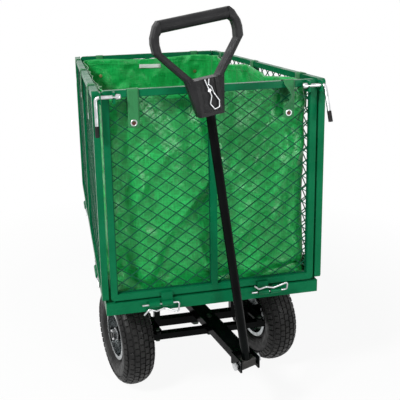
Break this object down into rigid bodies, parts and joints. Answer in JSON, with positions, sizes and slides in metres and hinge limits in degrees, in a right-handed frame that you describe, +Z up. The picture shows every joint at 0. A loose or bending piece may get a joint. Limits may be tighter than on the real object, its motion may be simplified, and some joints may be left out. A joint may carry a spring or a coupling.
{
  "type": "garden cart",
  "caption": "Mesh-sided steel garden cart with drop sides, a removable fabric liner, pneumatic wheels, linked front steering and a fold-down pull handle",
  "frame": {"origin": "on the ground under the middle of the bounding box", "axes": "+X to the right and +Y away from someone who stands at the handle and faces the cart; +Z up"},
  "size_m": [0.535, 0.9808, 0.9767],
  "materials": {
    "green_paint": "glossy",
    "black_paint": "glossy",
    "grey_paint": "satin",
    "zinc": "satin",
    "black_plastic": "satin",
    "tyre": "matte",
    "rim_steel": "satin",
    "liner_fabric": "matte",
    "strap_webbing": "matte",
    "snap_ring": "satin",
    "snap_centre": "satin"
  },
  "bodies": {
    "chassis": {"tray_frame": "green_paint", "tray_crossbars": "green_paint", "deck_mesh": "green_paint", "hinge_clips": "zinc", "front_axle": "black_paint", "kingpin_tubes": "black_paint", "rear_axle": "black_paint", "rear_axle_nuts": "zinc", "steering_bolt": "zinc", "front_panel_frame": "green_paint", "front_panel_mesh": "green_paint"},
    "drawbar": {"drawbar": "black_paint", "drawbar_fork": "black_paint", "pole_bolt": "zinc"},
    "pole": {"pole_pivot_block": "grey_paint", "pole": "black_paint", "handle": "black_plastic", "handle_pin": "zinc", "handle_clip": "zinc"},
    "tie_rod": {"tie_rod": "black_paint", "tie_rod_bolts": "zinc"},
    "rear_panel": {"rear_panel_frame": "green_paint", "rear_panel_mesh": "green_paint"},
    "liner": {"liner": "liner_fabric", "liner_straps": "strap_webbing", "snap_rings": "snap_ring", "snap_centres": "snap_centre"},
    "left_panel": {"left_panel_frame": "green_paint", "left_panel_mesh": "green_paint"},
    "knuckle_left": {"knuckle_left": "black_paint", "kingpin_left": "zinc", "axle_nut_left": "zinc"},
    "right_panel": {"right_panel_frame": "green_paint", "right_panel_mesh": "green_paint"},
    "knuckle_right": {"knuckle_right": "black_paint", "kingpin_right": "zinc", "axle_nut_right": "zinc"},
    "wheel_front_left": {"tyre_front_left": "tyre", "rim_front_left": "rim_steel", "hub_front_left": "black_paint"},
    "latch_front_left": {"latch_rod_front_left": "zinc", "latch_grip_front_left": "black_plastic"},
    "wheel_front_right": {"tyre_front_right": "tyre", "rim_front_right": "rim_steel", "hub_front_right": "black_paint"},
    "latch_front_right": {"latch_rod_front_right": "zinc", "latch_grip_front_right": "black_plastic"},
    "wheel_rear_left": {"tyre_rear_left": "tyre", "rim_rear_left": "rim_steel", "hub_rear_left": "black_paint"},
    "latch_rear_left": {"latch_rod_rear_left": "zinc", "latch_grip_rear_left": "black_plastic"},
    "wheel_rear_right": {"tyre_rear_right": "tyre", "rim_rear_right": "rim_steel", "hub_rear_right": "black_paint"},
    "latch_rear_right": {"latch_rod_rear_right": "zinc", "latch_grip_rear_right": "black_plastic"}
  },
  "joints": [
    {"name": "steering", "type": "hinge", "parent": "chassis", "child": "drawbar", "pos_m": [0, -0.2076, 0.175], "axis": [0, 0, 1], "range_deg": [-19, 19]},
    {"name": "knuckle_left_steer", "type": "hinge", "parent": "chassis", "child": "knuckle_left", "pos_m": [-0.1365, -0.2076, 0.133], "axis": [0, 0, 1], "range_deg": [-19, 19]},
    {"name": "knuckle_right_steer", "type": "hinge", "parent": "chassis", "child": "knuckle_right", "pos_m": [0.1365, -0.2076, 0.133], "axis": [0, 0, 1], "range_deg": [-19, 19]},
    {"name": "tie_rod_pivot", "type": "hinge", "parent": "drawbar", "child": "tie_rod", "pos_m": [0.01768, -0.28869, 0.165], "axis": [0, 0, 1], "range_deg": [-19, 19]},
    {"name": "pole_tilt", "type": "hinge", "parent": "drawbar", "child": "pole", "pos_m": [0.05709, -0.46945, 0.17], "axis": [0.9696, 0.2114, 0.1236], "range_deg": [0, 95]},
    {"name": "rear_panel_drop", "type": "hinge", "parent": "chassis", "child": "rear_panel", "pos_m": [0, 0.4814, 0.313], "axis": [-1, 0, 0], "range_deg": [0, 120]},
    {"name": "liner_lift", "type": "slide", "parent": "chassis", "child": "liner", "axis": [0, 0, 1], "range_m": [0, 0.52]},
    {"name": "left_panel_drop", "type": "hinge", "parent": "chassis", "child": "left_panel", "pos_m": [-0.2615, 0.0304, 0.313], "axis": [0, -1, 0], "range_deg": [0, 120]},
    {"name": "right_panel_drop", "type": "hinge", "parent": "chassis", "child": "right_panel", "pos_m": [0.2615, 0.0304, 0.313], "axis": [0, 1, 0], "range_deg": [0, 120]},
    {"name": "wheel_front_left_spin", "type": "hinge", "parent": "knuckle_left", "child": "wheel_front_left", "pos_m": [-0.19366, -0.22006, 0.13], "axis": [-0.977, -0.213, 0], "continuous": true},
    {"name": "latch_front_left_slide", "type": "slide", "parent": "left_panel", "child": "latch_front_left", "axis": [-1, 0, 0], "range_m": [0, 0.026]},
    {"name": "wheel_front_right_spin", "type": "hinge", "parent": "knuckle_right", "child": "wheel_front_right", "pos_m": [0.19366, -0.19513, 0.13], "axis": [0.977, 0.213, 0], "continuous": true},
    {"name": "latch_front_right_slide", "type": "slide", "parent": "right_panel", "child": "latch_front_right", "axis": [1, 0, 0], "range_m": [0, 0.026]},
    {"name": "wheel_rear_left_spin", "type": "hinge", "parent": "chassis", "child": "wheel_rear_left", "pos_m": [-0.195, 0.2784, 0.13], "axis": [-1, 0, 0], "continuous": true},
    {"name": "latch_rear_left_slide", "type": "slide", "parent": "left_panel", "child": "latch_rear_left", "axis": [-1, 0, 0], "range_m": [0, 0.026]},
    {"name": "wheel_rear_right_spin", "type": "hinge", "parent": "chassis", "child": "wheel_rear_right", "pos_m": [0.195, 0.2784, 0.13], "axis": [1, 0, 0], "continuous": true},
    {"name": "latch_rear_right_slide", "type": "slide", "parent": "right_panel", "child": "latch_rear_right", "axis": [1, 0, 0], "range_m": [0, 0.026]}
  ],
  "couplings": [
    {"joint": "knuckle_left_steer", "follows": "steering", "ratio": 1},
    {"joint": "knuckle_right_steer", "follows": "steering", "ratio": 1},
    {"joint": "tie_rod_pivot", "follows": "steering", "ratio": -1}
  ]
}
